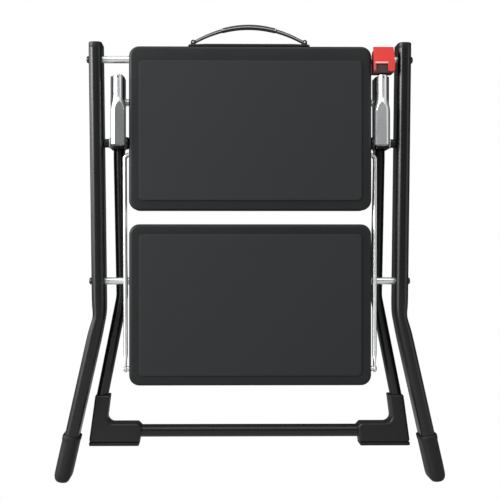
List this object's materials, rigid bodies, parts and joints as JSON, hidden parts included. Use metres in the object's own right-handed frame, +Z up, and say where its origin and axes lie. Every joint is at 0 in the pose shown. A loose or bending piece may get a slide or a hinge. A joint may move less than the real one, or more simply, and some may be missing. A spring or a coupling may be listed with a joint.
{
  "type": "folding step stool",
  "caption": "Folding step stool with a tubular steel frame, two steps, a carrying handle and a lock lever, folded flat and upright.",
  "frame": {"origin": "on the floor under the middle of the folded stool, which stands upright on its front feet", "axes": "+Z up along the front legs, +X to the right seen from the front, the steps face -Y"},
  "size_m": [0.4918, 0.0686, 0.5758],
  "materials": {
    "black_paint": "satin black powder coat",
    "black_plastic": "matte moulded",
    "black_rubber": "matte",
    "mat_rubber": "matte, fine grain",
    "zinc": "bright zinc plated",
    "red_plastic": "satin moulded"
  },
  "bodies": {
    "front_frame": {"front_leg_left": "black_paint", "front_leg_right": "black_paint", "leg_cap_left": "black_plastic", "leg_cap_right": "black_plastic", "foot_left": "black_rubber", "foot_right": "black_rubber", "top_axle": "zinc", "lower_axle": "zinc", "top_axle_head_left": "black_paint", "top_axle_head_right": "black_paint", "lower_axle_head_left": "black_paint", "lower_axle_head_right": "black_paint", "pivot_bolt_left": "black_paint", "pivot_bolt_right": "black_paint", "pivot_washer_left": "zinc", "pivot_washer_right": "zinc", "pivot_spacer_left": "black_plastic", "pivot_spacer_right": "black_plastic"},
    "upper_step": {"platform_pan": "black_paint", "platform_mat": "mat_rubber", "platform_bush_left": "black_plastic", "platform_bush_right": "black_plastic", "cam_bracket_left": "black_paint", "cam_bracket_right": "black_paint", "wire_bearing_left": "black_plastic", "wire_bearing_right": "black_plastic", "handle_base": "black_plastic", "handle_strap": "black_plastic", "handle_grip": "black_rubber", "handle_pin_left": "zinc", "handle_pin_right": "zinc"},
    "lower_step": {"lower_step_pan": "black_paint", "lower_step_mat": "mat_rubber", "lower_bush_left": "black_plastic", "lower_bush_right": "black_plastic", "link_rivet_left": "black_paint", "link_rivet_right": "black_paint"},
    "link": {"link_wire": "zinc"},
    "rear_frame": {"rear_leg_left": "black_paint", "rear_leg_right": "black_paint", "leg_bracket_left": "black_paint", "leg_bracket_right": "black_paint", "end_tube_left": "zinc", "end_tube_right": "zinc", "corner_foot_left": "black_plastic", "corner_foot_right": "black_plastic", "corner_sole_left": "black_rubber", "corner_sole_right": "black_rubber", "bracket_rivet_lower_left": "zinc", "bracket_rivet_lower_right": "zinc", "bracket_rivet_upper_left": "zinc", "bracket_rivet_upper_right": "zinc", "rear_crossbar": "black_paint", "support_rod": "zinc"},
    "lock": {"lock_latch": "red_plastic"}
  },
  "joints": [
    {"name": "platform_fold", "type": "hinge", "parent": "front_frame", "child": "upper_step", "pos_m": [0, -0.01001, 0.53311], "axis": [-1, 0, 0], "range_deg": [0, 57]},
    {"name": "lower_step_fold", "type": "hinge", "parent": "front_frame", "child": "lower_step", "pos_m": [0, -0.01001, 0.25251], "axis": [-1, 0, 0], "range_deg": [0, 57.2]},
    {"name": "link_swing", "type": "hinge", "parent": "upper_step", "child": "link", "pos_m": [0, -0.01401, 0.41211], "axis": [-1, 0, 0], "range_deg": [-59.8, 0]},
    {"name": "rear_fold", "type": "hinge", "parent": "front_frame", "child": "rear_frame", "pos_m": [0, -0.01001, 0.42711], "axis": [1, 0, 0], "range_deg": [0, 53.7]},
    {"name": "latch_swing", "type": "hinge", "parent": "front_frame", "child": "lock", "pos_m": [0.167, -0.01001, 0.53311], "axis": [-1, 0, 0], "range_deg": [0, 90]}
  ],
  "couplings": [
    {"joint": "lower_step_fold", "follows": "platform_fold", "ratio": 1},
    {"joint": "link_swing", "follows": "platform_fold", "ratio": -1.0446},
    {"joint": "rear_fold", "follows": "platform_fold", "ratio": 0.9386}
  ]
}
